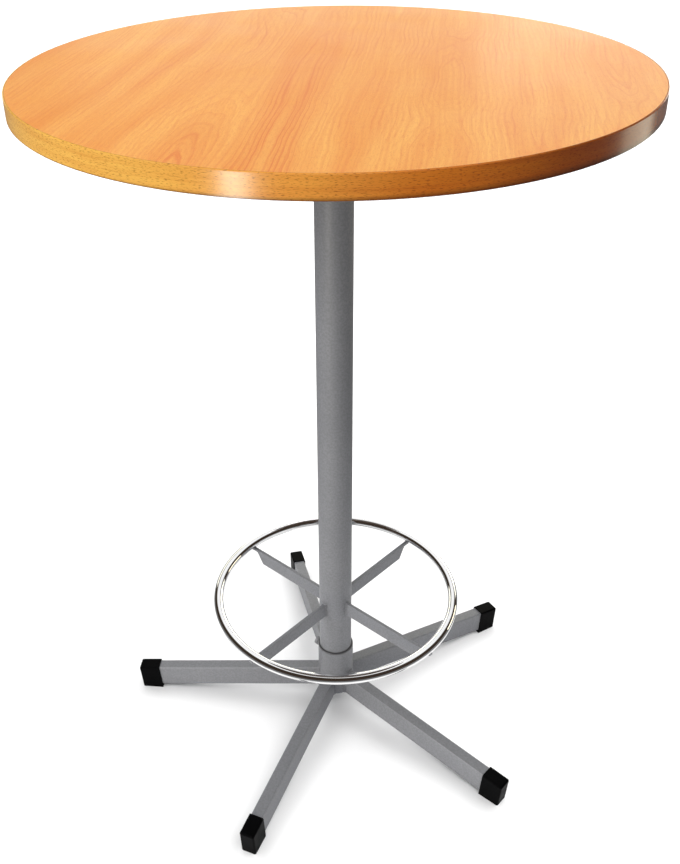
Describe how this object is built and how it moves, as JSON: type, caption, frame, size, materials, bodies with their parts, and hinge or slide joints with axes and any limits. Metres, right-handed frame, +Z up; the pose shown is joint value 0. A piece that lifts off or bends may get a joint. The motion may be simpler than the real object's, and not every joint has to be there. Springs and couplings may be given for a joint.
{
  "type": "bar table",
  "caption": "Tall round bar table: wood-look laminate top on a tubular column, star base of sloping tube legs with plastic boots, and a chromed foot ring on spokes.",
  "frame": {"origin": "on the floor, under the axis of the column", "axes": "+Z up along the column; the pictured front faces -Y, +X to the viewer's right"},
  "size_m": [0.7999, 0.8, 1.1],
  "materials": {
    "beech_laminate": "satin",
    "beech_edging": "satin",
    "chipboard": "matte",
    "backing_sheet": "matte",
    "grey_paint": "satin",
    "chrome_plate": "polished",
    "black_plastic": "satin",
    "zinc_steel": "zinc plated"
  },
  "bodies": {
    "root": {"top_core": "chipboard", "top_laminate": "beech_laminate", "under_laminate": "backing_sheet", "edge_band": "beech_edging", "top_spider": "grey_paint", "spider_screws": "zinc_steel", "column": "grey_paint", "base_collar": "grey_paint", "collar_stop": "grey_paint", "clamp_nuts": "grey_paint", "clamp_bolts": "zinc_steel", "footrest_ring": "chrome_plate", "ring_screws": "zinc_steel", "leg_front_left": "grey_paint", "boot_front_left": "black_plastic", "leg_front_right": "grey_paint", "boot_front_right": "black_plastic", "leg_right": "grey_paint", "boot_right": "black_plastic", "leg_back": "grey_paint", "boot_back": "black_plastic", "leg_left": "grey_paint", "boot_left": "black_plastic", "spoke_back_right": "grey_paint", "spoke_back_left": "grey_paint", "spoke_front_left": "grey_paint", "spoke_front_right": "grey_paint"}
  },
  "joints": []
}
